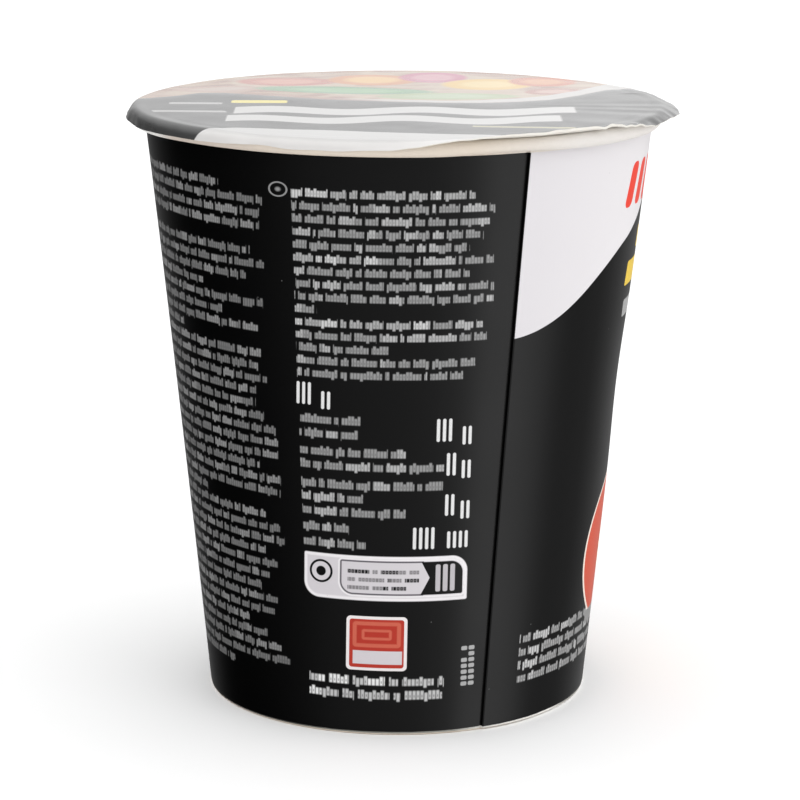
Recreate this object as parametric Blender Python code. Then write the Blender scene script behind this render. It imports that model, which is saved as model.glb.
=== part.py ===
"""Instant noodle cup, shut: a tapered paper cup with a rolled rim, a lapped side seam and a
recessed base, under a peel film lid whose margin folds down over the rim.

Units are metres, +Z is up, the origin is the centre of the foot ring on the table. The side
that the main view shows faces -Y, and its right is +X. Azimuths are in degrees from -Y,
growing towards +X.
"""

import math

import bmesh
import bpy
from mathutils import Vector

MM = 0.001

# ---- paper cup
BASE_R = 34.5 * MM  # outer radius of the wall at the table
WALL_R = 45.33 * MM  # outer radius of the wall where it meets the rolled rim
WALL_TOP = 104.4 * MM  # height of that meeting line, under the roll
WALL_BOW = 0.18 * MM  # how far the wall is drawn in at mid height
RIM_R = 48.0 * MM  # outer radius of the rolled rim
ROLL_R = 1.4 * MM  # radius of the roll's own section
ROLL_Z = 105.8 * MM  # height of the roll's centre
FOOT_T = 0.95 * MM  # the wall's folded double edge, which the cup stands on
FOOT_ROUND = 0.35 * MM  # rounding of the fold
RECESS = 6.9 * MM  # height of the hollow under the base
FILL_Z = 106.5 * MM  # top of the shut cup's solid, under the lid

# ---- lapped seam of the side wall
SEAM_BASE = 25.8  # azimuth of the lap's edge at the table
SEAM_RIM = 28.9  # and at the rim: the blank is wound a little askew
LAP_STEP = 0.35 * MM  # thickness of the board
LAP_WIDTH = 9.0  # degrees where two layers lie on each other
LAP_FADE = 13.0  # degrees over which the outer layer comes back to the round

# ---- base disc
DISC_GAP = 0.35 * MM
DISC_T = 0.5 * MM
DISC_Z = 6.0 * MM  # its underside
DISC_CROWN = 0.25 * MM  # it bellies down this much at the middle

# ---- film lid
FILM_T = 0.4 * MM
FILM_GAP = 0.3 * MM  # over the roll
FILM_R = 49.9 * MM  # radius of the film, flat, before its margin is folded down
FILM_SAG = 0.1 * MM
FOLD = 60.0  # usual fold of the margin, degrees below level
# places where the margin lies otherwise: azimuth, half width, change of the fold
FOLD_CHANGES = (
    (-28.0, 48.0, 20.0),  # pressed onto the roll, front left
    (27.0, 40.0, -50.0),  # standing off level, front right
    (84.0, 38.0, -34.0),  # pull edge at the right
    (-92.0, 30.0, -32.0),  # corner at the left
    (150.0, 40.0, -14.0),
    (-150.0, 30.0, 8.0),
)

COLUMNS = 80


def clear():
    for o in list(bpy.data.objects):
        bpy.data.objects.remove(o, do_unlink=True)


def material(name, colour, roughness, metallic=0.0):
    m = bpy.data.materials.new(name)
    m.use_nodes = True
    s = m.node_tree.nodes["Principled BSDF"]
    s.inputs["Base Color"].default_value = (*colour, 1.0)
    s.inputs["Roughness"].default_value = roughness
    s.inputs["Metallic"].default_value = metallic
    m.diffuse_color = (*colour, 1.0)
    return m


def at(azimuth, r, z):
    a = math.radians(azimuth)
    return Vector((r * math.sin(a), -r * math.cos(a), z))


def loft(name, rings, bottom, top, paint):
    """One closed body: a fan from the point bottom to the first ring, bands from ring to ring,
    and a fan from the last ring to the point top. Rings run anticlockwise seen from above."""
    bm = bmesh.new()
    loops = [[bm.verts.new(p) for p in ring] for ring in rings]
    low, high = bm.verts.new(bottom), bm.verts.new(top)
    n = len(loops[0])
    for i in range(n):
        j = (i + 1) % n
        bm.faces.new((low, loops[0][j], loops[0][i]))
        for a, b in zip(loops, loops[1:]):
            bm.faces.new((a[i], a[j], b[j], b[i]))
        bm.faces.new((high, loops[-1][i], loops[-1][j]))
    bmesh.ops.recalc_face_normals(bm, faces=bm.faces)
    mesh = bpy.data.meshes.new(name)
    bm.to_mesh(mesh)
    bm.free()
    mesh.materials.append(paint)
    mesh.shade_smooth()
    mesh.set_sharp_from_angle(angle=math.radians(38))
    o = bpy.data.objects.new(name, mesh)
    bpy.context.scene.collection.objects.link(o)
    return o


def ease(t):
    t = min(1.0, max(0.0, t))
    return t * t * (3 - 2 * t)


def wall_radius(z):
    t = z / WALL_TOP
    return BASE_R + (WALL_R - BASE_R) * t - WALL_BOW * 4 * t * (1 - t)


def lap(turn):
    """How far the wall stands out at this many degrees past the lap's edge."""
    turn = (turn + 180.0) % 360.0 - 180.0
    if turn < -0.1:
        return 0.0
    return LAP_STEP * (1 - ease((turn - LAP_WIDTH) / LAP_FADE))


def wall_azimuths():
    """Columns of the wall as degrees past the lap's edge, with the edge itself as a step."""
    step = 360.0 / COLUMNS
    return [-0.3, 0.0] + [step * k for k in range(1, COLUMNS)]


def make_cup(paint):
    turns = wall_azimuths()

    def ring(r, z, proud):
        seam = SEAM_BASE + (SEAM_RIM - SEAM_BASE) * min(1.0, z / WALL_TOP)
        return [at(seam + t, r + proud * lap(t), z) for t in turns]

    rings = []
    # the hollow under the base, from its ceiling out and down to the foot
    inner = BASE_R - FOOT_T
    lean = (WALL_R - BASE_R) / WALL_TOP
    rings.append(ring(inner + lean * RECESS - 0.6 * MM, RECESS, 0))
    rings.append(ring(inner + lean * RECESS, RECESS - 0.6 * MM, 0))
    # the folded foot, rounded inside and out
    rings.append(ring(inner, FOOT_ROUND, 0))
    rings.append(ring(inner + FOOT_ROUND * 0.8, 0.0, 0))
    rings.append(ring(BASE_R - FOOT_ROUND * 0.8, 0.0, 0))
    rings.append(ring(BASE_R, FOOT_ROUND, 1))
    # the wall
    heights = 6
    for k in range(1, heights + 1):
        z = WALL_TOP * k / (heights + 1)
        rings.append(ring(wall_radius(z), z, 1))
    # up to where the wall runs into the roll, then round the roll to its inner side
    centre = RIM_R - ROLL_R
    start, end, steps = -148.0, 125.0, 12
    for k in range(steps + 1):
        a = math.radians(start + (end - start) * k / steps)
        proud = 0.6 if k < steps - 2 else 0.0
        rings.append(
            ring(centre + ROLL_R * math.cos(a), ROLL_Z + ROLL_R * math.sin(a), proud)
        )
    return loft(
        "cup", rings, Vector((0, 0, RECESS)), Vector((0, 0, FILL_Z)), paint
    )


def make_disc(paint):
    """The bottom board: a thin disc, slightly crowned, with a rounded edge, as it shows
    inside the folded foot."""
    lean = (WALL_R - BASE_R) / WALL_TOP
    out = BASE_R - FOOT_T + lean * DISC_Z - DISC_GAP
    rings = []

    def ring(r, z):
        return [at(360.0 * k / 64, r, z) for k in range(64)]

    def belly(r):
        return DISC_CROWN * (1 - (r / out) ** 2)

    for r in (0.5 * out, out - 0.3 * DISC_T):
        rings.append(ring(r, DISC_Z - belly(r)))
    rings.append(ring(out, DISC_Z + 0.3 * DISC_T))
    rings.append(ring(out, DISC_Z + 0.7 * DISC_T))
    for r in (out - 0.3 * DISC_T, 0.5 * out):
        rings.append(ring(r, DISC_Z + DISC_T - belly(r)))
    return loft(
        "base_disc",
        rings,
        Vector((0, 0, DISC_Z - belly(0))),
        Vector((0, 0, DISC_Z + DISC_T - belly(0))),
        paint,
    )


def fold(azimuth):
    """How steeply the lid's margin folds down at this azimuth, in radians."""
    bend = FOLD
    for centre, half, change in FOLD_CHANGES:
        off = abs((azimuth - centre + 180.0) % 360.0 - 180.0) / half
        if off < 1:
            bend += change * (0.5 + 0.5 * math.cos(math.pi * off))
    return math.radians(bend)


def film(azimuth, s, side):
    """A point of the film, s along it from the middle, on its top (side 1) or underside (-1)."""
    centre = RIM_R - ROLL_R
    rho = ROLL_R + FILM_GAP + FILM_T / 2
    half = side * FILM_T / 2
    if s <= centre:
        dip = FILM_SAG * (1 - (s / centre) ** 2)
        return at(azimuth, s, ROLL_Z + rho - dip + half)
    u, bend = s - centre, fold(azimuth)
    arc = rho * bend
    a = min(u / rho, bend)
    past = max(0.0, u - arc)
    r = centre + (rho + half) * math.sin(a) + past * math.cos(a)
    z = ROLL_Z + (rho + half) * math.cos(a) - past * math.sin(a)
    return at(azimuth, r, z)


def make_lid(paint):
    turns = [360.0 * k / COLUMNS for k in range(COLUMNS)]
    centre = RIM_R - ROLL_R
    margin = FILM_R - centre
    stops = [0.5 * centre, 0.93 * centre, centre]
    stops += [centre + margin * k / 4 for k in (1, 2, 3)]
    under = [[film(t, s, -1) for t in turns] for s in stops]
    edge = [
        [film(t, FILM_R, -1) for t in turns],
        [film(t, FILM_R, 1) for t in turns],
    ]
    over = [[film(t, s, 1) for t in turns] for s in reversed(stops)]
    return loft(
        "lid", under + edge + over, film(0.0, 0.0, -1), film(0.0, 0.0, 1), paint
    )


clear()
board = material("coated_board", (0.012, 0.012, 0.013), 0.42)
plain = material("plain_board", (0.78, 0.72, 0.64), 0.75)
foil = material("lid_film", (0.06, 0.06, 0.062), 0.22)
make_cup(board)
make_disc(plain)
make_lid(foil)
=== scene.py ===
"""Looks of a shut instant noodle cup: a printed paper cup with a lapped seam and a rolled rim,
under a glossy film lid with a loose, wavy margin.

Lengths below are in millimetres and azimuths in degrees, from -Y (the side that the main view
faces) growing towards +X, unless a name says otherwise. Meshes are made in metres.
"""

import math

import bpy
import numpy as np
from mathutils import Matrix, Vector


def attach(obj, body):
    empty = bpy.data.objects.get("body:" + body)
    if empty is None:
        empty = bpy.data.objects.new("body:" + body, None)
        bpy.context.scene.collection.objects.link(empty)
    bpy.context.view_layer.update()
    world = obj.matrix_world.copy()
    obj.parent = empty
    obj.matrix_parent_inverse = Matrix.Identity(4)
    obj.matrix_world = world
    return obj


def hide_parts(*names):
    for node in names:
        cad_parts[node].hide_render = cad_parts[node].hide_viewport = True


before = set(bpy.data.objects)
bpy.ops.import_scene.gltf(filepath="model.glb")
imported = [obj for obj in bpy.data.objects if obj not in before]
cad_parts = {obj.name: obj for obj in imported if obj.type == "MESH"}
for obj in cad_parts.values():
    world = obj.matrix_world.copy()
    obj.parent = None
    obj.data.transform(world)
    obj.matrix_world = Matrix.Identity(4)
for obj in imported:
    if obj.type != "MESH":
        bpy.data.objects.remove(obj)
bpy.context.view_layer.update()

# ---------------------------------------------------------------- sizes, as in the CAD model
BASE_R = 34.5
WALL_R = 45.33
WALL_TOP = 104.4
WALL_BOW = 0.18
ROLL_R = 1.4
ROLL_Z = 105.8
ROLL_C = 46.6
FOOT_T = 0.95
LEAN = (WALL_R - BASE_R) / WALL_TOP
SEAM_BASE = 25.8
SEAM_RIM = 28.9
TWIST = (SEAM_RIM - SEAM_BASE) / WALL_TOP  # degrees for each millimetre of height


# ---------------------------------------------------------------- small helpers
def ease(t):
    t = np.clip(t, 0.0, 1.0)
    return t * t * (3 - 2 * t)


def bump_at(x, centre, half):
    """A smooth hump of height 1 around centre, 0 past half on either side; x wraps at 360."""
    off = np.abs((x - centre + 180.0) % 360.0 - 180.0) / half
    return np.where(off < 1, 0.5 + 0.5 * np.cos(np.pi * np.clip(off, 0, 1)), 0.0)


def periodic(x, table, column):
    """Smooth interpolation, round the circle, of one column of a table that starts with azimuths."""
    pts = np.array(table, float)
    a, v = pts[:, 0], pts[:, column]
    a3 = np.concatenate([a - 360, a, a + 360])
    v3 = np.concatenate([v, v, v])
    # monotone cubic (Fritsch and Carlson), so that no value overshoots its neighbours
    h = np.diff(a3)
    d = np.diff(v3) / h
    m = np.zeros_like(v3)
    same = d[:-1] * d[1:] > 0
    w1, w2 = 2 * h[1:] + h[:-1], h[1:] + 2 * h[:-1]
    with np.errstate(divide="ignore", invalid="ignore"):
        m[1:-1] = np.where(same, (w1 + w2) / (w1 / d[:-1] + w2 / d[1:]), 0.0)
    k = np.clip(np.searchsorted(a3, x) - 1, 0, len(a3) - 2)
    t = (x - a3[k]) / h[k]
    t2, t3 = t * t, t * t * t
    return (
        (2 * t3 - 3 * t2 + 1) * v3[k]
        + (t3 - 2 * t2 + t) * h[k] * m[k]
        + (3 * t2 - 2 * t3) * v3[k + 1]
        + (t3 - t2) * h[k] * m[k + 1]
    )


def lathe_mesh(name, rows, materials, row_paint, uv_rows, extra_uv=None, sharp=40):
    """One closed piece from rows of points, each an (n, 3) array in millimetres that runs
    anticlockwise seen from above, with a point closing each end. rows[0] and rows[-1] are
    single points. row_paint gives the material of each band, uv_rows the height of each row in
    the bake's map."""
    first, last, body = rows[0], rows[-1], rows[1:-1]
    n = len(body[0])
    verts = np.concatenate([first[None, :], *body, last[None, :]]) * 0.001
    top = len(verts) - 1
    faces, paint, uvs = [], [], []

    def vid(r, i):
        return 1 + r * n + i % n

    for i in range(n):
        faces.append((0, vid(0, i + 1), vid(0, i)))
        paint.append(row_paint[0])
        uvs += [
            ((i + 0.5) / n, uv_rows[0]),
            ((i + 1) / n, uv_rows[1]),
            (i / n, uv_rows[1]),
        ]
    for r in range(len(body) - 1):
        for i in range(n):
            faces.append((vid(r, i), vid(r, i + 1), vid(r + 1, i + 1), vid(r + 1, i)))
            paint.append(row_paint[r + 1])
            uvs += [
                (i / n, uv_rows[r + 1]),
                ((i + 1) / n, uv_rows[r + 1]),
                ((i + 1) / n, uv_rows[r + 2]),
                (i / n, uv_rows[r + 2]),
            ]
    r = len(body) - 1
    for i in range(n):
        faces.append((top, vid(r, i), vid(r, i + 1)))
        paint.append(row_paint[-1])
        uvs += [
            ((i + 0.5) / n, uv_rows[-1]),
            (i / n, uv_rows[-2]),
            ((i + 1) / n, uv_rows[-2]),
        ]
    mesh = bpy.data.meshes.new(name)
    mesh.from_pydata(verts.tolist(), [], faces)
    for m in materials:
        mesh.materials.append(m)
    mesh.polygons.foreach_set("material_index", paint)
    layer = mesh.uv_layers.new(name="OFBake")
    if extra_uv is not None:
        uvs, flat = extra_uv(faces, n, len(body))
        second = mesh.uv_layers.new(name="film")
        second.data.foreach_set("uv", np.array(flat, np.float32).ravel())
        layer = mesh.uv_layers["OFBake"]
    layer.data.foreach_set("uv", np.array(uvs, np.float32).ravel())
    mesh.update()
    mesh.shade_smooth()
    mesh.set_sharp_from_angle(angle=math.radians(sharp))
    mesh.validate()
    o = bpy.data.objects.new(name, mesh)
    bpy.context.scene.collection.objects.link(o)
    return o


# ---------------------------------------------------------------- shader arithmetic
class Value:
    """A number or colour inside a node tree, with Python's arithmetic."""

    def __init__(self, net, socket):
        self.net, self.socket = net, socket

    def __add__(self, o):
        return self.net.math("ADD", self, o)

    __radd__ = __add__

    def __sub__(self, o):
        return self.net.math("SUBTRACT", self, o)

    def __rsub__(self, o):
        return self.net.math("SUBTRACT", o, self)

    def __mul__(self, o):
        return self.net.math("MULTIPLY", self, o)

    __rmul__ = __mul__

    def __truediv__(self, o):
        return self.net.math("DIVIDE", self, o)

    def __gt__(self, o):
        return self.net.math("GREATER_THAN", self, o)

    def __lt__(self, o):
        return self.net.math("LESS_THAN", self, o)


class Net:
    def __init__(self, tree):
        self.tree = tree
        self.count = 0

    def node(self, kind, **settings):
        n = self.tree.nodes.new(kind)
        n.location = (220 * (self.count % 40), -190 * (self.count // 40))
        self.count += 1
        for k, v in settings.items():
            setattr(n, k, v)
        return n

    def put(self, socket, value):
        if isinstance(value, Value):
            self.tree.links.new(value.socket, socket)
        elif isinstance(value, (tuple, list)) and len(value) == 3:
            socket.default_value = (*value, 1.0) if socket.type == "RGBA" else value
        else:
            socket.default_value = value

    def math(self, op, a, b=None, c=None, clamp=False):
        n = self.node("ShaderNodeMath", operation=op, use_clamp=clamp)
        for k, v in enumerate((a, b, c)):
            if v is not None:
                self.put(n.inputs[k], v)
        return Value(self, n.outputs[0])

    def fma(self, a, b, c, clamp=False):
        return self.math("MULTIPLY_ADD", a, b, c, clamp)

    def abs(self, a):
        return self.math("ABSOLUTE", a)

    def floor(self, a):
        return self.math("FLOOR", a)

    def sin(self, a):
        return self.math("SINE", a)

    def max(self, a, b):
        return self.math("MAXIMUM", a, b)

    def min(self, a, b):
        return self.math("MINIMUM", a, b)

    def vec(self, x=0.0, y=0.0, z=0.0):
        n = self.node("ShaderNodeCombineXYZ")
        for k, v in enumerate((x, y, z)):
            self.put(n.inputs[k], v)
        return Value(self, n.outputs[0])

    def length(self, x, y):
        v = self.vec(x, y)
        n = self.node("ShaderNodeVectorMath", operation="LENGTH")
        self.put(n.inputs[0], v)
        return Value(self, n.outputs["Value"])

    def split(self, v):
        n = self.node("ShaderNodeSeparateXYZ")
        self.put(n.inputs[0], v)
        return [Value(self, s) for s in n.outputs]

    def hash(self, x, y=0.0, z=0.0):
        v = self.vec(x, y, z)
        n = self.node("ShaderNodeTexWhiteNoise", noise_dimensions="3D")
        self.put(n.inputs["Vector"], v)
        return Value(self, n.outputs["Value"])

    def noise(self, v, scale, detail=2.0, rough=0.5, distortion=0.0):
        n = self.node("ShaderNodeTexNoise", noise_dimensions="3D")
        self.put(n.inputs["Vector"], v)
        n.inputs["Scale"].default_value = scale
        n.inputs["Detail"].default_value = detail
        n.inputs["Roughness"].default_value = rough
        n.inputs["Distortion"].default_value = distortion
        return Value(self, n.outputs["Fac"])

    def ramp(self, x, stops, interpolation="LINEAR"):
        """A curve through (place 0..1, level 0..1) stops."""
        n = self.node("ShaderNodeValToRGB")
        r = n.color_ramp
        r.interpolation = interpolation
        while len(r.elements) > 1:
            r.elements.remove(r.elements[-1])
        for k, (p, v) in enumerate(stops):
            e = r.elements[0] if k == 0 else r.elements.new(p)
            e.position = p
            e.color = (v, v, v, 1.0)
        self.put(n.inputs[0], x)
        s = self.node("ShaderNodeSeparateColor")
        self.tree.links.new(n.outputs[0], s.inputs[0])
        return Value(self, s.outputs[0])

    # -- masks, 1 inside and 0 outside, with an edge as soft as a fine print's
    def inside(self, distance, soft=0.05):
        return self.fma(distance, -1.0 / soft, 0.5, clamp=True)

    def band(self, x, low, high, soft=0.05):
        off = self.abs(x - (low + high) / 2)
        return self.fma(off, -1.0 / soft, 0.5 + (high - low) / 2 / soft, clamp=True)

    def rect(self, u, v, u0, u1, v0, v1, soft=0.05):
        return self.band(u, u0, u1, soft) * self.band(v, v0, v1, soft)

    def round_distance(self, u, v, u0, u1, v0, v1, radius):
        qx = self.abs(u - (u0 + u1) / 2) + (radius - (u1 - u0) / 2)
        qy = self.abs(v - (v0 + v1) / 2) + (radius - (v1 - v0) / 2)
        deep = self.min(self.max(qx, qy), 0.0)
        return self.length(self.max(qx, 0.0), self.max(qy, 0.0)) + deep - radius

    def round_rect(self, u, v, u0, u1, v0, v1, radius, soft=0.05):
        return self.inside(self.round_distance(u, v, u0, u1, v0, v1, radius), soft)

    def outline(self, distance, width, soft=0.05):
        return self.inside(self.abs(distance) - width / 2, soft)

    def over(self, below, mask, colour):
        n = self.node("ShaderNodeMix", data_type="RGBA", blend_type="MIX")
        self.put(n.inputs["Factor"], mask)
        self.put(n.inputs[6], below)
        self.put(n.inputs[7], colour)
        return Value(self, n.outputs[2])

    def mix(self, t, a, b):
        n = self.node("ShaderNodeMix", data_type="FLOAT")
        self.put(n.inputs["Factor"], t)
        self.put(n.inputs[2], a)
        self.put(n.inputs[3], b)
        return Value(self, n.outputs[0])

    def object_mm(self):
        c = self.node("ShaderNodeTexCoord")
        n = self.node("ShaderNodeVectorMath", operation="SCALE")
        self.tree.links.new(c.outputs["Object"], n.inputs[0])
        n.inputs["Scale"].default_value = 1000.0
        return Value(self, n.outputs[0])


def new_material(name):
    m = bpy.data.materials.new(name)
    m.use_nodes = True
    net = Net(m.node_tree)
    return m, net, m.node_tree.nodes["Principled BSDF"]


def grey(v):
    return (v, v, v)


def srgb(r, g, b):
    out = []
    for c in (r, g, b):
        c /= 255.0
        out.append(c / 12.92 if c <= 0.04045 else ((c + 0.055) / 1.055) ** 2.4)
    return tuple(out)


def strokes(net, u, row, part, seed, pitch=0.56, word=7.0, gap=0.55, fill=0.5, tall=0.15):
    """Rows of small upright marks in groups, which read as small print from afar and are no
    letters. row is the row's number and part how far down it, 0 to 1."""
    along = u + row * 17.3 + seed * 7.7
    cell = along / pitch
    number = net.floor(cell)
    across = net.abs(cell - number - 0.5)  # 0 in the middle of a mark, 0.5 between two
    chance = net.hash(number, row, seed)
    top = 0.27 - (chance > 0.62) * tall
    low = 0.74 + (chance < 0.12) * tall
    mark = net.fma(part - top, 9.0, 0.5, clamp=True) * net.fma(low - part, 9.0, 0.5, clamp=True)
    line = net.fma(across, -4.4, 2.0, clamp=True)
    # some marks are open in their middle
    hollow = net.fma(across, -7.0, 1.6, clamp=True) * net.band(part, 0.42, 0.60, 0.10)
    line = line * (1.0 - hollow * (chance > 0.34) * 0.7)
    mark = mark * net.fma(line, 1.0 - fill, fill)
    # gaps between groups, two in each stretch, and groups of two weights
    place = along / word
    group = net.floor(place)
    first = net.fma(net.hash(group, row, seed + 3.0), 0.42, 0.05)
    second = net.fma(net.hash(group, row, seed + 6.0), 0.42, 0.52)
    place = place - group
    off = net.min(net.abs(place - first), net.abs(place - second))
    mark = mark * net.fma(off, word / 0.14, 0.5 - gap / 2 / 0.14, clamp=True)
    heavy = net.hash(group + (place > first) * 0.3 + (place > second) * 0.3, row, seed + 9.0) > 0.7
    return mark * net.fma(heavy, 0.34, 0.66)


# ---------------------------------------------------------------- materials
def board_surface(net, shader, mm, colour, fibre=0.012):
    """Uncoated paperboard: fine fibres, a little mottling."""
    mottled = net.noise(mm, 0.9, 3.0, 0.6)
    fine = net.noise(mm, 6.0, 2.0, 0.55)
    tone = net.fma(mottled, 0.10, 0.95) * net.fma(fine, 0.08, 0.96)
    n = net.node("ShaderNodeVectorMath", operation="SCALE")
    if isinstance(colour, Value):
        net.tree.links.new(colour.socket, n.inputs[0])
    else:
        n.inputs[0].default_value = colour
    net.put(n.inputs["Scale"], tone)
    net.tree.links.new(n.outputs[0], shader.inputs["Base Color"])
    net.put(shader.inputs["Roughness"], net.fma(fine, 0.12, 0.62))
    b = net.node("ShaderNodeBump")
    b.inputs["Strength"].default_value = 0.6
    b.inputs["Distance"].default_value = fibre * 0.001
    net.put(b.inputs["Height"], fine * 0.6 + mottled)
    net.tree.links.new(b.outputs[0], shader.inputs["Normal"])


def plain_board():
    m, net, s = new_material("bare_board")
    mm = net.object_mm()
    x, y, z = net.split(mm)
    # painted shade: the board is darker and warmer towards -X and paler towards +X, and its far -X end
    # is lighter again as a painted highlight
    tint = net.over((0.58, 0.502, 0.44), net.fma(x, 0.05, 1.8, clamp=True), (0.69, 0.61, 0.52))
    tint = net.over(tint, net.fma(x, 0.055, -0.7, clamp=True), (0.71, 0.68, 0.65))
    tint = net.over(tint, net.fma(x, -0.3, -11.6, clamp=True), (0.78, 0.77, 0.75))
    board_surface(net, s, mm, tint)
    s.inputs["Specular IOR Level"].default_value = 0.30
    return m


def printed_board():
    """The wall's print: black, with a white field by the lap, rows of small marks, two plain
    labels and an oval field on the far side. Below its lower edge the board is bare."""
    m, net, s = new_material("cup_print")
    mm = net.object_mm()
    x, y, z = net.split(mm)
    azimuth = net.math("ARCTAN2", x, y * -1.0) * (180.0 / math.pi)
    turn = azimuth - z * TWIST  # straight up the blank, parallel to the lap
    arc = net.fma(z, LEAN * math.pi / 180, BASE_R * math.pi / 180)  # mm for a degree
    past = (turn - SEAM_BASE) * arc  # mm past the lap's edge
    u = (turn + 3.0) * arc  # mm along the near sheet
    v = z + u * 0.004  # its print stands a little askew
    right = past > 0.12

    # the print's white, painted darker near the lap's edge and lighter past it as painted shade
    white = net.over(srgb(212, 209, 212), net.fma(past, 0.03, -0.1, clamp=True), srgb(228, 223, 225))
    ink = (0.0014, 0.0014, 0.0015)
    # a still darker band along the lap's edge is painted shade in its groove
    colour = net.over(ink, net.band(past, -0.75, 0.12, 0.06), grey(0.0008))

    # ---- rows of small marks on the near sheet, one grid of rows for block and side column
    lift = net.fma(u, -1.0, -19.5, clamp=True) * net.fma(v, 0.025, -1.4, clamp=True)
    rows = (98.68 - v + lift * 0.36) / 2.25
    row = net.floor(rows)
    small = strokes(net, u, row, rows - row, 1.0)
    # middle block, whose left edge leans: where each row ends, from -20 to 20 mm
    ub = net.fma(net.max(z - 66.0, 0.0), 0.046, u)
    ends = (14.6, 18.1, 17.1, 16.0, 13.5, 17.8, 13.4, 17.8, 17.7, -13.0, 15.7, 16.4, -0.5, 14.2)
    stops = [(k / 32, (e + 20) / 40) for k, e in enumerate(ends + (12.0, -20.0))]
    end = net.ramp((row + 0.5) / 32.0, stops, "CONSTANT") * 40.0 - 20.0
    block = net.inside(ub - end) * net.inside(-17.05 - ub) * (row > -0.5)
    strong = (net.abs(row - 0.0) < 0.5) + (net.abs(row - 10.0) < 0.5) * (ub < 6.0)
    strong = net.min(strong + (net.abs(row - 5.0) < 0.5) * (ub < -1.5), 1.0)
    level = net.fma(strong, 0.25, 0.75)
    colour = net.over(colour, small * block * level, grey(0.56))
    # side column: ragged ends, some rows short, some left out
    first = (-33.8, -24.1, -24.7, -24.7, -64.0, -26.7, -23.7, -27.6, -38.7, -23.9, -33.5)
    first += (-25.0, -46.7, -24.4, -24.8, -23.1, -25.5, -25.6, -23.8, -21.3, -20.8, -20.4)
    rest = (-24.8, -20.2, -20.2, -40.0, -23.5, -20.4, -19.4, -23.6, -20.9, -22.7, -24.6)
    rest += (-20.9, -21.6, -27.8, -23.3, -20.1, -18.1, -32.4, -64.0)
    edges = []
    for table, start in ((first, 0), (rest, 22)):
        stops = [(k / 32, (e + 64) / 50) for k, e in enumerate(table)]
        edges.append(net.ramp((row - (start - 0.5)) / 32.0, stops, "CONSTANT") * 50.0 - 64.0)
    late = row > 21.5
    edge = edges[0] * (1.0 - late) + edges[1] * late
    column = net.inside(u - edge) * net.inside(-95.0 - turn) * (row > -0.5) * (edge > -63.0)
    colour = net.over(colour, small * column, grey(0.25))

    # ---- open oval mark before the first row
    d = net.length((u + 21.0) / 1.4, (v - 97.9)) - 1.2
    colour = net.over(colour, net.outline(d, 0.24, 0.08), grey(0.26))
    colour = net.over(colour, net.inside(d + 0.85, 0.3), grey(0.26))

    # ---- lines of smaller marks beside the figures, in groups
    centres = (57.83, 55.31, 52.12, 49.64, 46.22, 43.79, 41.24, 38.29, 35.42, 30.0)
    cuts = [0.0] + [(60.0 - (a + b) / 2) / 32 for a, b in zip(centres, centres[1:])]
    down = (60.0 - v) / 32.0
    row = net.ramp(down, [(c, k / 10) for k, c in enumerate(cuts)], "CONSTANT") * 10.0
    row = net.floor(row + 0.5)
    centre = net.ramp(down, [(c, centres[k] / 60) for k, c in enumerate(cuts)], "CONSTANT") * 60.0
    part = (centre - v) / 2.5 + 0.5
    small = strokes(net, u, row, part, 29.0)
    ends = (-5.5, -5.9, 2.6, 9.1, 9.0, -4.6, 2.6, -7.2, -4.2, -20.0)
    stops = [(c, (e + 20) / 40) for c, e in zip(cuts, ends)]
    end = net.ramp(down, stops, "CONSTANT") * 40.0 - 20.0
    start = net.fma(v, -0.05, -13.78)
    small = small * net.inside(u - end) * net.inside(start - u) * (down > 0.0) * (row < 8.5)
    colour = net.over(colour, small, grey(0.42))

    # ---- upright bars in place of the larger figures: first u, how many, lowest and highest v
    for u0, count, v0, v1 in (
        (-17.2, 3, 60.4, 64.4),
        (-12.6, 2, 59.8, 63.0),
        (7.6, 3, 54.4, 58.5),
        (12.2, 2, 53.7, 57.0),
        (9.5, 2, 48.2, 52.3),
        (12.2, 2, 47.6, 50.9),
        (9.4, 2, 40.9, 44.8),
        (12.2, 2, 40.2, 43.5),
        (3.9, 4, 34.9, 38.9),
        (9.9, 4, 34.9, 38.0),
    ):
        place = (u - u0) / 1.06
        across = (place - net.floor(place)) * 1.06
        bars = net.round_rect(across, v, 0.08, 0.64, v0, v1, 0.27, 0.12)
        bars = bars * net.band(u, u0, u0 + 1.06 * count)
        colour = net.over(colour, bars, grey(0.72))

    # ---- pale panel with a dark field at its right
    turned = (u + 0.8) * (v - 29.4) > 0.0
    d = net.round_distance(u, v, -15.35, 13.8, 25.3, 33.5, turned * 2.6 + 0.3)
    colour = net.over(colour, net.inside(d), srgb(206, 202, 206))
    colour = net.over(colour, net.outline(d + 0.28, 0.5, 0.3), srgb(232, 229, 231))
    d = net.round_distance(u, v, -8.58, 12.97, 26.45, 32.55, turned * 1.9 + 0.3)
    colour = net.over(colour, net.outline(d, 0.34, 0.12) * net.inside(u - 6.0), srgb(92, 88, 94))
    colour = net.over(colour, net.outline(d - 0.3, 0.3, 0.2), srgb(232, 229, 231))
    arrow = net.inside(7.05 - net.abs(v - 29.6) * 0.5 - u)
    colour = net.over(colour, net.inside(d) * arrow, ink)
    ring = net.length(u + 12.2, v - 30.2) - 1.95
    colour = net.over(colour, net.outline(ring, 0.42, 0.1), ink)
    colour = net.over(colour, net.inside(ring + 1.05, 0.1), ink)
    prow = (31.4 - v) / 1.5
    pr = net.floor(prow)
    panel = strokes(net, u, pr, prow - pr, 5.0, pitch=0.60, word=8.0, fill=0.6, tall=0.0)
    panel = panel * net.band(pr, -0.5, 2.5) * net.band(u, -7.35, 5.2 - (pr > 1.5) * 2.2)
    colour = net.over(colour, panel, ink)
    place = (u - 8.0) / 1.3
    across = (place - net.floor(place)) * 1.3
    bars = net.round_rect(across, v, 0.1, 0.95, 27.0, 32.0, 0.3, 0.1) * net.band(u, 8.0, 11.9)
    colour = net.over(colour, bars, srgb(186, 182, 186))

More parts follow.
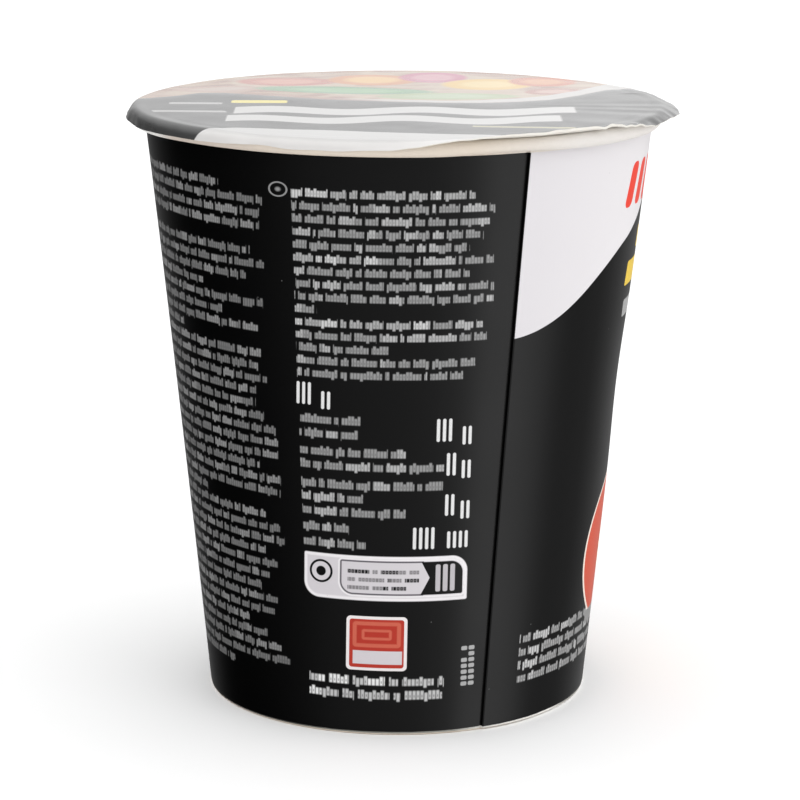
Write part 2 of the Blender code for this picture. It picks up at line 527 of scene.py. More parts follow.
    # ---- red label with a pale strip
    d = net.round_distance(u, v, -7.4, 3.35, 12.2, 22.35, 0.8)
    colour = net.over(colour, net.inside(d), srgb(232, 226, 226))
    d = net.round_distance(u, v, -6.85, 2.8, 12.72, 21.8, 0.5)
    colour = net.over(colour, net.inside(d), (0.44, 0.036, 0.022))
    d = net.round_distance(u, v, -5.9, 1.9, 16.9, 21.0, 0.25)
    colour = net.over(colour, net.outline(d, 0.7, 0.2), (0.58, 0.12, 0.075))
    d = net.round_distance(u, v, -4.4, 0.4, 18.2, 19.7, 0.2)
    colour = net.over(colour, net.outline(d, 0.5, 0.2), (0.58, 0.12, 0.075))
    colour = net.over(colour, net.rect(u, v, -6.2, 2.5, 13.4, 15.9, 0.1), srgb(208, 202, 206))

    # ---- two rows of bolder marks under it, and a short upright row by the lap
    brow = (11.35 - v) / 2.6
    br = net.floor(brow)
    lower = strokes(net, u, br, brow - br, 11.0, pitch=0.70, word=9.0, gap=0.75, fill=0.3)
    lower = lower * net.band(br, -0.5, 1.5) * net.band(u, -14.25, 10.0)
    colour = net.over(colour, lower, grey(0.80))
    step = (v - 8.75) / 1.12
    sf = net.floor(step)
    across = net.abs(u - 14.35)
    code = net.round_rect(across, (step - sf) * 1.12, 0.14, 1.26, 0.16, 0.92, 0.25, 0.12)
    code = code * net.band(sf, -0.5, 6.5) * (1.0 - (net.abs(sf - 5.0) < 0.5) * (u < 14.3))
    colour = net.over(colour, code, grey(0.40))

    # ---- far sheet, past the lap: four rows of bold marks
    frow = (17.2 - z + past * 0.004) / 2.5
    fr = net.floor(frow)
    far = strokes(net, past, fr, frow - fr, 17.0, pitch=0.66, word=8.4, gap=0.6, fill=0.35)
    far = far * net.band(fr, -0.5, 3.5) * net.band(past, 6.5, 36.0)
    colour = net.over(colour, far, grey(0.54))

    # ---- oval field with a white border, and what lies in it
    ou, ov = past - 44.7, z - 26.3
    d = (net.length(ou / 1.275, ov) - 15.7) * 1.0
    d = net.max(d, 13.6 - z)
    colour = net.over(colour, net.inside(d), srgb(240, 226, 214))
    colour = net.over(colour, net.inside(d + 0.55), (0.62, 0.082, 0.038))
    # soft broth tone and pale strands, in the half that the main view doesn't show
    wave = net.sin(past * 0.55 + z * 0.18) * 1.1 + net.sin(past * 0.23 - z * 0.4) * 0.8
    line = (z + wave) / 2.3
    strand = net.inside(net.abs(line - net.floor(line) - 0.5) - 0.24, 0.16)
    bowl = net.inside(net.length((ou - 2.8) / 1.18, ov + 0.5) - 10.2, 0.25)
    colour = net.over(colour, bowl, (0.60, 0.22, 0.06))
    colour = net.over(colour, bowl * strand, (0.86, 0.66, 0.33))
    for cu, cz, rad, tint in (
        (44.0, 31.5, 3.0, (0.78, 0.30, 0.06)),
        (52.5, 24.5, 2.6, (0.80, 0.36, 0.08)),
        (38.8, 23.5, 1.9, (0.12, 0.30, 0.07)),
        (48.5, 34.2, 1.5, (0.12, 0.30, 0.07)),
        (55.2, 30.2, 1.7, (0.12, 0.30, 0.07)),
    ):
        spot = net.length(past - cu, (z - cz) * 1.25) - rad
        colour = net.over(colour, net.inside(spot, 0.1), tint)
        colour = net.over(colour, net.outline(spot + 0.35 * rad, 0.25, 0.1), (0.9, 0.62, 0.3))
    colour = net.over(colour, net.rect(past, z, 28.6, 61.0, 13.6, 16.0), grey(0.27))

    # ---- white field by the lap, its lower edge a rising curve
    p = net.min(net.max(past, 0.0), 30.0)
    far = net.max(past - 30.0, 0.0)
    edge = net.fma(net.fma(net.fma(p, -0.000546, 0.0289), p, 0.0895), p, 71.93)
    edge = net.fma(net.fma(far, 0.010, 0.42), far, edge)
    field = net.inside(edge - z, 0.06) * right * net.inside(past - 62.0)
    # the field's white, painted darker near the lap and lighter further past it as painted shade
    field_white_and_shade = net.over(
        srgb(213, 210, 213), net.fma(past, 0.035, -0.1, clamp=True), srgb(226, 223, 225)
    )
    colour = net.over(colour, field, field_white_and_shade)
    # plain bars where names would be
    slant = past - (z - 95.0) * 0.30
    for a, b in ((28.2, 31.6), (33.4, 36.8), (38.6, 42.0), (43.8, 47.2)):
        colour = net.over(
            colour, net.round_rect(slant, z, a, b, 91.4, 99.4, 1.3), (0.80, 0.045, 0.02)
        )
    slant = past - (z - 80.0) * 0.2
    colour = net.over(
        colour, net.round_rect(slant, z, 32.7, 62.0, 76.6, 81.0, 0.5), (0.80, 0.55, 0.04)
    )
    colour = net.over(
        colour, net.round_rect(slant, z, 38.4, 58.0, 82.6, 86.6, 0.6), (0.80, 0.55, 0.04)
    )
    colour = net.over(
        colour, net.round_rect(past, z, 33.0, 64.0, 70.7, 73.9, 0.5), grey(0.36)
    )

    # ---- a plain lined table on the back, with rows of marks
    tu = (turn + 152.0) * arc
    trow = (92.0 - z) / 4.1
    tr = net.floor(trow)
    rule = net.inside(net.abs(trow - tr - 0.5) * -4.1 + 1.93, 0.06)
    frame_d = net.round_distance(tu, z, -16.0, 16.0, 34.6, 92.0, 0.4)
    table = net.max(rule * net.band(tr, 0.5, 13.5), net.outline(frame_d, 0.35))
    table = net.max(table, net.band(net.abs(tu - 4.0), -0.09, 0.09) * 1.0)
    table = table * net.inside(frame_d - 0.15)
    cells = strokes(net, tu, tr, (trow - tr) * 1.35 - 0.18, 23.0, pitch=0.62, word=4.6)
    reach = net.hash(tr, 2.0, 7.0)
    cells = cells * net.max(
        net.band(tu, -15.0, 2.6) * net.inside(tu - 2.0 + reach * 9.0),
        net.band(tu, 9.5, 14.8) * net.inside(11.6 - reach * 2.0 - tu),
    )
    table = net.max(table, cells * net.band(tr, -0.5, 13.5))
    colour = net.over(colour, table, grey(0.74))

    # ---- wear: a few specks where the ink is chipped
    cu, cz = net.floor(turn * 0.5), net.floor(z / 6.0)
    lone = net.hash(cu, cz, 31.0)
    du = (turn * 0.5 - cu - net.hash(cu, cz, 33.0)) * arc * 2.0
    dz = z - cz * 6.0 - net.hash(cu, cz, 35.0) * 6.0
    speck = net.inside(net.length(du, dz) - 0.08, 0.10) * (lone > 0.991)
    colour = net.over(colour, speck * 0.5, grey(0.30))

    # ---- the fold of the foot, where the print ends and the board is bare: painted shade greys it at the left, and it is lighter at the right
    low = net.fma(net.math("SINE", (azimuth + 20.0) * (math.pi / 180)), 0.11, 0.50)
    bare = net.inside(z - low - net.noise(mm, 0.6, 1.0) * 0.12, 0.12)
    # share of the bare strip's own cream round the cup; where it is low, a painted shade colour shows
    # instead
    foot_lit_share = ((0.0, 0.3), (0.30, 0.0), (0.44, 0.0), (0.50, 0.06), (0.547, 0.14), (0.583, 1.0))
    foot_lit_share = net.ramp(azimuth / 360.0 + 0.5, foot_lit_share + ((0.645, 1.0), (0.67, 0.2), (1.0, 0.3)))
    foot_painted_shade = net.over(
        (0.09, 0.088, 0.08), net.fma(azimuth, 0.07, 2.3, clamp=True), (0.24, 0.235, 0.21)
    )
    colour = net.over(colour, bare, net.over(foot_painted_shade, foot_lit_share, (0.86, 0.84, 0.80)))

    net.tree.links.new(colour.socket, s.inputs["Base Color"])
    cloud = net.noise(mm, 0.06, 2.0, 0.5)
    fine = net.noise(mm, 2.2, 2.0, 0.5)
    net.put(
        s.inputs["Roughness"],
        net.fma(cloud, 0.06, 0.30) + fine * 0.05 + bare * 0.25,
    )
    s.inputs["IOR"].default_value = 1.45
    s.inputs["Specular IOR Level"].default_value = 0.16
    b = net.node("ShaderNodeBump")
    b.inputs["Strength"].default_value = 0.35
    b.inputs["Distance"].default_value = 0.000012
    net.put(b.inputs["Height"], cloud * 2.0 + fine * 0.5)
    net.tree.links.new(b.outputs[0], s.inputs["Normal"])
    return m


def lid_print():
    """The film's print, on its flat coordinates: black, a pale strip along the near edge, wavy
    white bands, and a large bowl with round and leaf shapes towards the back."""
    m, net, s = new_material("lid_print")
    uv = net.node("ShaderNodeUVMap", uv_map="film")
    fx, fy, _ = net.split(Value(net, uv.outputs[0]))
    X = (fx - 0.5) * 120.0
    Y = (fy - 0.5) * 120.0
    flat = net.vec(X, Y)
    white = (0.515, 0.507, 0.50)
    ink = grey(0.052)

    # ---- bowl with a broad rim, towards the back
    line = ((-48.0, 3.0), (-45.6, 4.2), (-43.2, 5.7), (-40.6, 7.8), (-36.4, 12.2), (-31.8, 12.3))
    line += ((-27.2, 10.3), (-22.5, 8.3), (-17.9, 6.4), (-12.5, 4.4), (-7.0, 3.2), (0.2, 1.4))
    line += ((7.3, 0.2), (14.5, 0.4), (21.7, 2.0), (27.3, 4.9), (33.0, 10.6), (38.0, 17.8))
    edge = net.ramp((X + 50.0) / 100.0, [((a + 50) / 100, b / 24) for a, b in line + ((50, 24),)])
    bd = edge * 24.0 - Y  # less than nothing inside
    haze = net.fma(bd, -0.16, 1.0, clamp=True)
    colour = net.over(ink, haze * haze * 0.4, (0.30, 0.31, 0.32))
    warm = net.noise(flat, 0.075, 2.0, 0.5, 0.8)
    tone = net.over((0.46, 0.34, 0.25), net.fma(warm, 5.0, -2.1, clamp=True), (0.28, 0.12, 0.08))
    art = net.inside(bd, 1.0)
    colour = net.over(colour, art, tone)
    # strands across the broth
    w = net.noise(flat, 0.05, 1.0, 0.5) * 22.0
    line = (Y * 0.8 - X * 0.22 + w) / 5.2
    strand = net.inside(net.abs(line - net.floor(line) - 0.5) - 0.22, 0.3)
    colour = net.over(colour, strand * net.inside(bd + 2.0, 2.0) * 0.55, (0.52, 0.41, 0.29))
    for cx, cy, rx, ry, lean, tint, heart in (
        (-33.0, 18.0, 9.0, 4.0, 0.30, (0.42, 0.26, 0.20), (0.46, 0.35, 0.29)),
        (-10.0, 17.0, 17.0, 5.0, -0.16, (0.10, 0.28, 0.12), (0.20, 0.40, 0.20)),
        (9.0, 9.0, 13.0, 4.6, 0.05, (0.30, 0.38, 0.18), (0.36, 0.46, 0.28)),
        (-21.0, 29.0, 9.5, 6.0, 0.0, (0.44, 0.10, 0.06), (0.60, 0.24, 0.16)),
        (-5.0, 32.0, 8.5, 8.0, 0.1, (0.56, 0.18, 0.02), (0.74, 0.44, 0.12)),
        (6.5, 36.0, 6.5, 7.5, 0.0, (0.44, 0.05, 0.16), (0.56, 0.24, 0.30)),
        (16.5, 26.0, 8.5, 8.0, 0.1, (0.70, 0.42, 0.04), (0.76, 0.56, 0.18)),
        (27.0, 30.0, 6.5, 7.0, 0.2, (0.50, 0.10, 0.02), (0.64, 0.26, 0.08)),
        (28.5, 16.0, 6.0, 4.5, 0.4, (0.36, 0.10, 0.07), (0.56, 0.34, 0.28)),
    ):
        dx, dy = X - cx, Y - cy
        ax = dx + dy * lean
        ay = dy - dx * lean
        e = net.length(ax / rx, ay / ry)
        colour = net.over(colour, net.fma(e, -6.0, 6.4, clamp=True), tint)
        colour = net.over(colour, net.fma(e, -4.0, 2.9, clamp=True) * 0.9, heart)
    colour = net.over(colour, art * 0.22, (0.40, 0.38, 0.36))
    half = net.fma(net.max(X - 10.0, 0.0), 0.09, 1.3)
    rim = net.inside(net.abs(bd + half) - half, 0.8) * net.fma(X, 0.06, 0.9, clamp=True)
    colour = net.over(colour, rim * 0.9, white)

    # ---- wavy white bands, as if of broad noodles, between bowl and near edge
    for base, half, x0, x1, phase in ((-10.8, 4.1, -29, 33, 0.6), (-22.0, 3.8, -29, 30, 1.3)):
        bend = net.sin(X * 0.24 + phase) * 1.9
        off = net.abs(Y - base - bend)
        band = net.inside(off - half, 0.3) * net.band(X + bend, x0, x1, 0.4)
        colour = net.over(colour, band, white)
    # short bars by them
    bars = net.round_rect(X, Y, -30.0, -20.0, -1.2, 2.4, 0.7, 0.3)
    colour = net.over(colour, bars, (0.70, 0.60, 0.16))
    bars = net.round_rect(X, Y, -41.0, -31.5, -3.2, -0.8, 0.6, 0.3)
    bars = net.max(bars, net.round_rect(X + Y * 0.3, Y, -47.0, -34.0, -13.6, -11.4, 0.6, 0.3))
    colour = net.over(colour, bars * 0.7, white)
    bars = net.round_rect(X, Y + X * 0.1, 12.5, 30.0, -29.8, -28.0, 0.5, 0.3)
    colour = net.over(colour, bars * 0.6, (0.62, 0.58, 0.36))

    # ---- pale strip along the near edge
    line = ((-38.0, -35.0), (-35.5, -34.5), (-32.7, -34.3), (-31.0, -33.9), (-27.7, -33.4))
    line += ((-23.1, -33.8), (-18.4, -34.6), (-13.3, -35.1), (-8.2, -36.2), (-4.0, -37.5))
    line += ((0.2, -38.6), (4.4, -39.4), (8.5, -40.1), (16.9, -40.7), (25.0, -41.2), (36.0, -43.5))
    edge = net.ramp((X + 40.0) / 80.0, [((a + 40) / 80, (b + 46) / 16) for a, b in line])
    strip = net.inside(Y - (edge * 16.0 - 46.0), 0.2)
    # its folded part is a little whiter
    folded = net.fma(net.length(X, Y), 1.2, -56.4, clamp=True)
    colour = net.over(colour, strip, net.over(white, folded, (0.68, 0.665, 0.655)))

    net.tree.links.new(colour.socket, s.inputs["Base Color"])
    cloud = net.noise(flat, 0.12, 2.0, 0.5)
    net.put(s.inputs["Roughness"], net.fma(cloud, 0.10, 0.15))
    s.inputs["IOR"].default_value = 1.52
    b = net.node("ShaderNodeBump")
    b.inputs["Strength"].default_value = 0.5
    b.inputs["Distance"].default_value = 0.00006
    net.put(b.inputs["Height"], cloud)
    net.tree.links.new(b.outputs[0], s.inputs["Normal"])
    return m


def film_back():
    """The film's underside and cut edge: pale and a little glossy."""
    m, net, s = new_material("lid_underside")
    mm = net.object_mm()
    board_surface(net, s, mm, (0.74, 0.715, 0.66), 0.006)
    s.inputs["Specular IOR Level"].default_value = 0.5
    return m


# ---------------------------------------------------------------- paper cup
def wall_radius(z):
    t = z / WALL_TOP
    return BASE_R + (WALL_R - BASE_R) * t - WALL_BOW * 4 * t * (1 - t)


def lap(arc):
    """How far the wall stands out, arc millimetres past the lap's edge: the near sheet dips
    towards the edge, a fine groove runs along it, and the far sheet lies over it."""
    near = -0.14 * ease((arc + 7.0) / 6.0)
    groove = np.where((arc > -0.45) & (arc < -0.01), -0.16, 0.0)
    far = 0.34 * (1 - ease((arc - 7.0) / 12.0))
    edge = np.where(arc < 0.12, -0.06, 0.0)
    return np.where(arc < -0.005, near + groove, far + edge)


def unevenness(azimuth, z):
    """Small dents and waves of the board, in millimetres."""
    a = np.radians(azimuth)
    body = np.sin(np.pi * np.clip(z / WALL_TOP, 0, 1))
    w = 0.035 * np.sin(3 * a + 1.3) * body + 0.02 * np.sin(5 * a + z / 17.0) * body
    dent = np.exp(-(((z - 58.0) / 13.0) ** 2)) * bump_at(azimuth, 88.0, 34.0)
    return w - 0.45 * dent


def make_cup(print_paint, board_paint):
    fine = [-12, -10, -8.5, -7, -5.5, -4.2, -3.1, -2.2, -1.5, -1.0, -0.7, -0.52, -0.41]
    fine += [-0.38, -0.25, -0.12, -0.015, 0.0, 0.05, 0.13, 0.3, 0.6, 1.1, 1.8, 2.8, 4.0]
    fine += [5.2, 6.4, 7.6, 8.8, 10.0]
    arcs = list(np.array(fine, float))
    turns = [a / 40.0 * 180 / math.pi for a in arcs]
    step = 0.75
    last = turns[-1]
    k = math.ceil((last + 0.4) / step)
    while k * step < 360 + turns[0] - 0.4:
        turns.append(k * step)
        k += 1
    turns = np.array(turns)
    arc = np.where(turns > 180, turns - 360, turns) * 40.0 * math.pi / 180
    proud = lap(arc)

    swell = 0.16 * ease(1 - np.abs(arc - 3.0) / 7.0)  # the lap, as it shows in the roll

    def ring(r, z, share, uneven=0.0, wave=0.0):
        azimuth = turns + SEAM_BASE + TWIST * min(max(z, 0.0), WALL_TOP)
        rr = r + proud * share + uneven * unevenness(azimuth, z) + wave
        a = np.radians(azimuth)
        return np.stack([rr * np.sin(a), -rr * np.cos(a), np.zeros_like(a) + z], 1)

    rows, paint, uv = [], [], []

    def add(points, material, height):
        rows.append(points)
        paint.append(material)
        uv.append(height)

    knurl = 0.5 - 0.5 * np.cos(2 * np.pi * 96 * turns / 360.0)
    add(np.array([0.0, 0.0, 6.9]), 1, 0.0)
    inner = BASE_R - FOOT_T
    # ceiling, hidden by the base board, then the free edge of the folded hem and its inner side
    add(ring(inner + LEAN * 6.9 + 0.30, 6.9, 0), 1, 0.02)
    add(ring(inner + LEAN * 5.5 + 0.32, 5.50, 0), 1, 0.03)
    add(ring(inner + LEAN * 5.4 + 0.10, 5.42, 0), 1, 0.035)
    add(ring(inner + LEAN * 5.3, 5.28, 0), 1, 0.04)
    for z, depth in ((4.9, 0.0), (4.5, 0.7), (3.9, 1.0), (3.0, 1.0), (2.1, 1.0), (1.6, 0.7), (1.2, 0.0)):
        add(ring(inner + LEAN * z, z, 0, wave=0.13 * depth * knurl), 1, 0.04 + (5.3 - z) * 0.012)
    # fold of the foot
    half = FOOT_T / 2
    for a in np.radians(np.linspace(180, 360, 11)):
        r = BASE_R - half + half * math.cos(a)
        z = half + half * math.sin(a)
        share = 0.0 if a < 1.6 * math.pi else (a - 1.6 * math.pi) / (0.4 * math.pi)
        add(ring(r, z, share), 1 if a < 1.98 * math.pi else 0, 0.11 + 0.03 * (a / math.pi - 1))
    # wall
    for z in np.concatenate([[0.8, 1.3, 2.0, 3.0], np.linspace(4.5, 103.6, 52)]):
        add(ring(wall_radius(z), z, 1.0, 1.0), 0, 0.145 + 0.80 * z / WALL_TOP)
    add(ring(wall_radius(104.3), 104.3, 1.0), 0, 0.947)
    # rolled rim
    azimuth = turns + SEAM_RIM
    droop = -0.28 * bump_at(azimuth, -70.0, 26.0)
    squash = 0.46 * bump_at(azimuth, 26.0, 20.0) + 0.40 * bump_at(azimuth, 88.0, 24.0)
    pressed = 0.85 * bump_at(azimuth, 86.0, 26.0)  # drawn in under the pull edge
    ripple = 0.03 * np.sin(np.radians(azimuth) * 9) + 0.02 * np.sin(np.radians(azimuth) * 23 + 1)
    for k, deg in enumerate(np.linspace(-150.0, 122.0, 24)):
        a = math.radians(deg)
        r = ROLL_C + ROLL_R * math.cos(a)
        z = ROLL_Z + ROLL_R * math.sin(a)
        outer = max(0.0, math.cos(a)) if deg > -120 else 0.0
        share = 1.0 if deg < 60 else max(0.0, (100 - deg) / 40)
        wave = ripple * (0.4 + 0.6 * outer) + swell * share - pressed * outer
        p = ring(r, z, 0.0, wave=wave)
        p[:, 2] += droop * (1.0 if deg < 40 else max(0.0, (100 - deg) / 60))
        p[:, 2] += squash * max(0.0, -math.sin(a))
        if k == 0:
            paint[-1] = 0
        add(p, 1, 0.95 + 0.04 * k / 23)
    add(ring(40.0, 106.5, 0), 1, 0.995)
    add(np.array([0.0, 0.0, 106.5]), 1, 1.0)
    bands = paint[1:]
    o = lathe_mesh("noodle_cup", rows, [print_paint, board_paint], bands, uv, sharp=50)
    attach(o, "root")
    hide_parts("cup")
    return o


def make_base(board_paint):
    """The bottom board: a disc with its edge turned down into the fold, crowned a little."""
    n = 240
    a = 2 * np.pi * np.arange(n) / n
    out = BASE_R - FOOT_T + LEAN * 6.0 + 0.06

    def ring(r, z, w=0.0):
        return np.stack([(r + w) * np.sin(a), -(r + w) * np.cos(a), np.zeros(n) + z], 1)

    def belly(r):
        return 0.22 * (1 - (r / out) ** 2) + 0.05 * np.exp(-(((r - 29.5) / 0.7) ** 2))

    rows, uv = [np.array([0.0, 0.0, 6.0 - belly(0.0)])], [0.0]
    for r in [4, 8, 12, 16, 20, 24, 27, 28.3, 28.9, 29.3, 29.7, 30.1, 30.7, 31.6, 32.4, 33.0]:
        rows.append(ring(r, 6.0 - belly(r)))
        uv.append(r / out * 0.5)
    for t in np.radians([15, 35, 55, 75, 90]):
        rows.append(ring(33.0 + (out - 33.0 - 0.3) * math.sin(t), 6.0 - (1 - math.cos(t)) * 0.42))
        uv.append(0.5 + 0.02 * t)
    rows.append(ring(out, 5.60))
    uv.append(0.54)
    rows.append(ring(out, 6.2))
    uv.append(0.56)
    rows.append(ring(out - 0.4, 6.5))
    uv.append(0.58)
    for r in (24, 12):
        rows.append(ring(r, 6.5 - belly(r)))
        uv.append(1.0 - r / out * 0.4)
    rows.append(np.array([0.0, 0.0, 6.5 - belly(0.0)]))
    uv.append(1.0)
    o = lathe_mesh("bottom_board", rows, [board_paint], [0] * (len(rows) - 1), uv, sharp=60)
    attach(o, "root")
    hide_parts("base_disc")
    return o


# ---------------------------------------------------------------- film lid
FILM_T = 0.16
FILM_RHO = ROLL_R + 0.03 + FILM_T / 2
# azimuth, width of the loose margin past the roll's middle, its fold below level in degrees
MARGIN = (
    (-180, 2.40, 45),
    (-150, 2.40, 60),
    (-120, 2.60, 65),
    (-104, 2.75, 58),
    (-96, 2.90, 56),
    (-90, 3.20, 61),
    (-84, 3.20, 68),
    (-78, 3.20, 78),
    (-70, 3.25, 88),
    (-60, 3.05, 90),
    (-50, 2.90, 90),
    (-40, 2.80, 82),
    (-34, 2.60, 68),
    (-28, 2.60, 80),
    (-14, 2.60, 80),
    (-6, 2.60, 68),
    (0, 2.60, 42),
    (5, 2.60, 20),
    (9, 2.60, 2),
    (14, 2.65, -6),
    (20, 2.70, -18),
    (28, 2.60, -20),
    (35, 2.60, -24),
    (45, 2.60, -20),
    (51, 2.65, -10),
    (56, 2.70, 5),
    (61, 2.70, 17),
    (66, 2.70, 32),
    (70, 2.60, 35),
    (75, 2.65, 32),
    (80, 2.95, 32),
    (86, 3.65, 31),
    (91, 4.20, 29),
    (96, 4.00, 25),
    (102, 3.40, 20),
    (108, 3.20, 18),
    (114, 3.50, 13),
    (120, 3.50, 12),
    (130, 3.20, 18),
    (142, 2.50, 46),
)


def make_lid(print_paint, back_paint):
    n = 600
    azimuth = 360.0 * np.arange(n) / n - 180.0
    a = np.radians(azimuth)
    width = periodic(azimuth, MARGIN, 1)
    near = bump_at(azimuth, -22.0, 34.0)
    width = width + near * (0.16 * np.sin(azimuth / 3.7) + 0.10 * np.sin(azimuth / 1.9 + 1.0))
    fold = np.radians(periodic(azimuth, MARGIN, 2))
    ramp = np.maximum(FILM_RHO * np.abs(fold), 1.2)
    rng = np.random.default_rng(7)

    # fine waves of the loose edge, strongest at the front right
    loose = bump_at(azimuth, 52.0, 30.0)
    wave = loose * 0.17 * np.sin(2 * np.pi * azimuth / 9.4 + 1.5 * np.sin(azimuth / 7.0))
    wave += loose * 0.08 * np.sin(2 * np.pi * azimuth / 4.1 + 2.0 * np.sin(azimuth / 4.0))
    lip = bump_at(azimuth, 38.0, 34.0)  # where the edge is curled up, which shows it thicker
    wave += 0.05 * np.sin(2 * np.pi * azimuth / 12.0 + 1.0) + 0.03 * np.sin(2 * np.pi * azimuth / 5.14)
    wave += 0.10 * bump_at(azimuth, -34.0, 7.0) + 0.12 * bump_at(azimuth, -82.0, 8.0)

    rings_s = [2, 5, 9, 13, 17, 21, 25, 28, 31, 34, 36.5, 38.5, 40.5, 42, 43.2, 44.2, 45, 45.6, 46.1]
    shares = list(np.linspace(0.0, 1.0, 26) ** 0.9)

    def level(s):
        """Height of the film's middle inside the roll: a slight sag, soft ripples, the seal."""
        x, y = s * np.sin(a), -s * np.cos(a)
        far = np.clip(s / ROLL_C, 0, 1)
        sag = -0.10 * (1 - far**2)
        ripple = 0.035 * np.sin(x / 5.2 + 0.6 * np.sin(y / 9.0)) * np.sin(y / 8.0 + 0.7)
        ripple += 0.02 * np.sin((x + 1.7 * y) / 3.7)
        pull = 0.05 * far**4 * np.sin(7 * a + 0.4) + 0.03 * far**6 * np.sin(19 * a + 2.0)
        drawn = np.sin(2 * np.pi * azimuth / 10.5 + 1.6 * np.sin(azimuth / 6.5)) + 0.3
        pull += bump_at(azimuth, 72.0, 44.0) * far**5 * 0.10 * drawn
        pull += 0.22 * np.exp(-((x - 42.7) ** 2 + (y - 13.7) ** 2) / 0.8)
        seal = -0.05 * np.exp(-(((s - 45.0) / 0.55) ** 2))
        return sag + ripple * (1 - far**6) + pull * (1 - 0.5 * far**8) + seal

    base = ROLL_Z + FILM_RHO
    points, normals, flats = [], [], []
    halves = [np.full(n, 0.5)] * len(rings_s)
    for s in rings_s:
        r = np.full(n, float(s))
        z = base + level(s)
        points.append((r, z))
        normals.append((np.zeros(n), np.ones(n)))
        flats.append(np.full(n, float(s)))
    start_z = base + level(ROLL_C)
    # the loose margin, integrated outwards along its own bend
    steps = 80
    t = np.linspace(0, 1, steps + 1)[:, None] * width[None, :]
    theta = fold[None, :] * np.clip(t / ramp[None, :], 0, 1)
    d = width[None, :] / steps
    mid = (theta[1:] + theta[:-1]) / 2
    r_all = ROLL_C + np.concatenate([np.zeros((1, n)), np.cumsum(np.cos(mid) * d, 0)])
    z_all = start_z + np.concatenate([np.zeros((1, n)), -np.cumsum(np.sin(mid) * d, 0)])
    for share in shares:
        k = share * steps
        i = min(int(k), steps - 1)
        f = k - i
        r = r_all[i] * (1 - f) + r_all[i + 1] * f
        z = z_all[i] * (1 - f) + z_all[i + 1] * f
        th = theta[i] * (1 - f) + theta[i + 1] * f
        nr, nz = np.sin(th), np.cos(th)
        lift = wave * ease(share / 0.9) * np.clip(width * share / 1.2, 0, 1)
        lift = np.maximum(lift, -0.02) if share < 0.3 else lift
        points.append((r + nr * lift, z + nz * lift))
        normals.append((nr, nz))
        flats.append(ROLL_C + width * share)
        halves.append(0.5 + 0.8 * lip * ease((share - 0.78) / 0.22))

    def side(sign):
        out = []
        for (r, z), (nr, nz), half in zip(points, normals, halves):
            rr, zz = r + sign * nr * FILM_T * half, z + sign * nz * FILM_T * half
            out.append(np.stack([rr * np.sin(a), -rr * np.cos(a), zz], 1))
        return out

    under, over = side(-1), side(1)
    z0 = base - 0.10
    rows = [np.array([0, 0, z0 - FILM_T / 2])] + under + over[::-1]
    rows += [np.array([0, 0, z0 + FILM_T / 2])]
    s_rows = [np.zeros(n)] + flats + flats[::-1] + [np.zeros(n)]
    count = len(under)
    bands = [1] * (count + 1) + [0] * count

    def maps(faces, columns, body):
        """The bake's map, one flat disc for each side, and the print's flat coordinates."""
        uvs, flat = [], []
        lows = 1 + count * columns
        for f in faces:
            row = [(0 if v == 0 else 1 + (v - 1) // columns) for v in f]
            for v, r in zip(f, row):
                if r in (0, len(rows) - 1):
                    x = y = 0.0
                else:
                    i = (v - 1) % columns
                    s = s_rows[r][i]
                    x, y = s * math.sin(a[i]), -s * math.cos(a[i])
                flat.append((x / 120.0 + 0.5, y / 120.0 + 0.5))
                top = max(f) >= lows and min(f) >= lows
                if top:
                    uvs.append((x / 160.0 + 0.33, y / 160.0 + 0.5))
                else:
                    edge = 0.0 if max(f) < lows or r <= count else 1.0
                    g = 1.0 + 0.03 * edge
                    uvs.append((x * g / 330.0 + 0.83, y * g / 330.0 + 0.25))
        return uvs, flat

    o = lathe_mesh(
        "film_lid", rows, [print_paint, back_paint], bands, [0.0] * len(rows), maps, sharp=60
    )
    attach(o, "root")
    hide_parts("lid")
    return o


# ---------------------------------------------------------------- camera, floor and light
def make_camera():
    pitch, roll, pan = 0.2244, 0.0037, 0.0007
    forward = Vector(
        (math.sin(pan) * math.cos(pitch), math.cos(pan) * math.cos(pitch), -math.sin(pitch))
    )
    level = Vector((math.cos(pan), -math.sin(pan), 0.0))
    up = level.cross(forward)
    right = math.cos(roll) * level + math.sin(roll) * up
    upright = -math.sin(roll) * level + math.cos(roll) * up
    m = Matrix((right, upright, -forward)).transposed().to_4x4()
    m.translation = Vector((0.0, -0.57344, 0.18358))
    data = bpy.data.cameras.new("camera")
    data.sensor_width = 36.0
    data.lens = 3216.33 * 36.0 / 800.0
    data.clip_start = 0.01
    data.clip_end = 50.0
    cam = bpy.data.objects.new("camera", data)
    cam.matrix_world = m
    bpy.context.scene.collection.objects.link(cam)
    bpy.context.scene.camera = cam


def make_floor():
    half = 6.0
    mesh = bpy.data.meshes.new("floor")
    mesh.from_pydata(
        [(-half, -half, 0), (half, -half, 0), (half, half, 0), (-half, half, 0)], [], [(0, 1, 2, 3)]
    )
    m, net, s = new_material("floor_paint")
    s.inputs["Base Color"].default_value = (0.96, 0.96, 0.96, 1)
    s.inputs["Roughness"].default_value = 0.9
    s.inputs["Specular IOR Level"].default_value = 0.0
    mesh.materials.append(m)
    floor = bpy.data.objects.new("floor", mesh)
    floor.location.z = -0.00002
    bpy.context.scene.collection.objects.link(floor)
    floor.visible_glossy = False


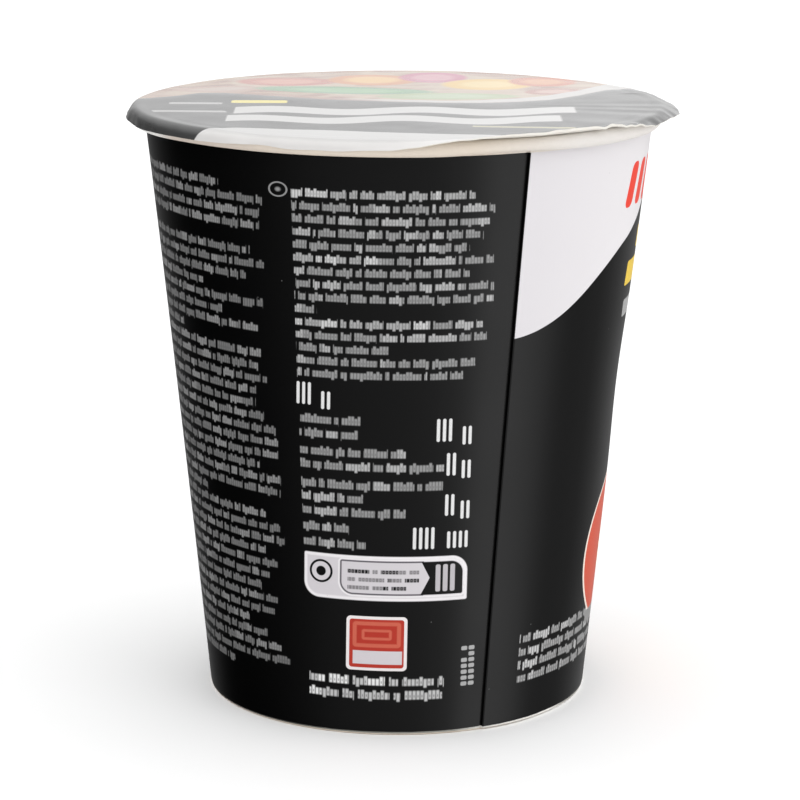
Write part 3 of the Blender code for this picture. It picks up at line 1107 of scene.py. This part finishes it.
def make_world():
    """A soft studio dome: bright overhead, behind and at the right, dim at the left."""
    world = bpy.data.worlds.new("studio")
    bpy.context.scene.world = world
    world.use_nodes = True
    net = Net(world.node_tree)
    back = world.node_tree.nodes["Background"]
    c = net.node("ShaderNodeTexCoord")
    dx, dy, dz = net.split(Value(net, c.outputs["Generated"]))
    place = net.math("ARCTAN2", dx, dy * -1.0) / (2 * math.pi) + 0.5  # 0 to 1 from behind, round
    panels = (
        (0.0, 1.05),
        (0.013, 0.98),
        (0.05, 0.47),
        (0.09, 0.18),
        (0.16, 0.11),
        (0.25, 0.18),
        (0.36, 0.27),
        (0.5, 0.56),
        (0.62, 0.87),
        (0.72, 1.06),
        (0.85, 1.06),
        (0.95, 1.20),
        (0.985, 1.27),
        (0.995, 1.14),
        (1.0, 1.05),
    )
    side = net.ramp(place, [(a, b / 1.5) for a, b in panels])
    glow = (
        (0.0, 0.5),
        (0.06, 0.3),
        (0.14, 0.0),
        (0.25, 0.0),
        (0.32, 0.14),
        (0.35, 0.34),
        (0.37, 0.52),
        (0.393, 0.84),
        (0.42, 0.92),
        (0.46, 1.04),
        (0.50, 1.17),
        (0.54, 1.35),
        (0.57, 1.5),
        (0.595, 1.9),
        (0.615, 3.6),
        (0.64, 5.0),
        (0.665, 5.0),
        (0.685, 4.1),
        (0.70, 3.1),
        (0.72, 2.0),
        (0.745, 1.05),
        (0.77, 0.52),
        (0.80, 0.34),
        (0.84, 0.36),
        (0.90, 0.5),
        (1.0, 0.5),
    )
    low = net.ramp(place, [(a, b / 5.0) for a, b in glow])
    # a little less light from steeply below, where the table is shaded by the cup
    low = low * net.ramp(dz * -1.0, [(0.34, 0.90), (0.40, 1.0), (0.44, 0.92), (0.50, 0.62)])
    up = net.fma(dz, 2.2, -0.35, clamp=True)
    sky = net.mix(up, side * 1.5, 1.36)
    ground = net.fma(dz, 12.0, 0.7, clamp=True)
    light = net.mix(ground, low * 5.0, sky)
    path = net.node("ShaderNodeLightPath")
    seen = net.mix(Value(net, path.outputs["Is Camera Ray"]), light, 0.97)
    net.put(back.inputs["Strength"], seen)
    back.inputs["Color"].default_value = (1.0, 1.0, 1.0, 1.0)


def make_lights():
    data = bpy.data.lights.new("key", "AREA")
    data.shape = "RECTANGLE"
    data.size, data.size_y = 0.9, 0.9
    data.energy = 2.5
    key = bpy.data.objects.new("key", data)
    key.location = (1.1, -1.0, 1.2)
    key.rotation_euler = (Vector((0, 0, 0.05)) - key.location).to_track_quat("-Z", "Y").to_euler()
    bpy.context.scene.collection.objects.link(key)


make_camera()
make_floor()
make_world()
make_lights()

board = plain_board()
make_cup(printed_board(), board)
make_base(board)
make_lid(lid_print(), film_back())

view = bpy.context.scene.view_settings
view.view_transform = "Standard"
view.look = "None"
view.exposure = 0.0
view.gamma = 1.0

bpy.context.view_layer.update()
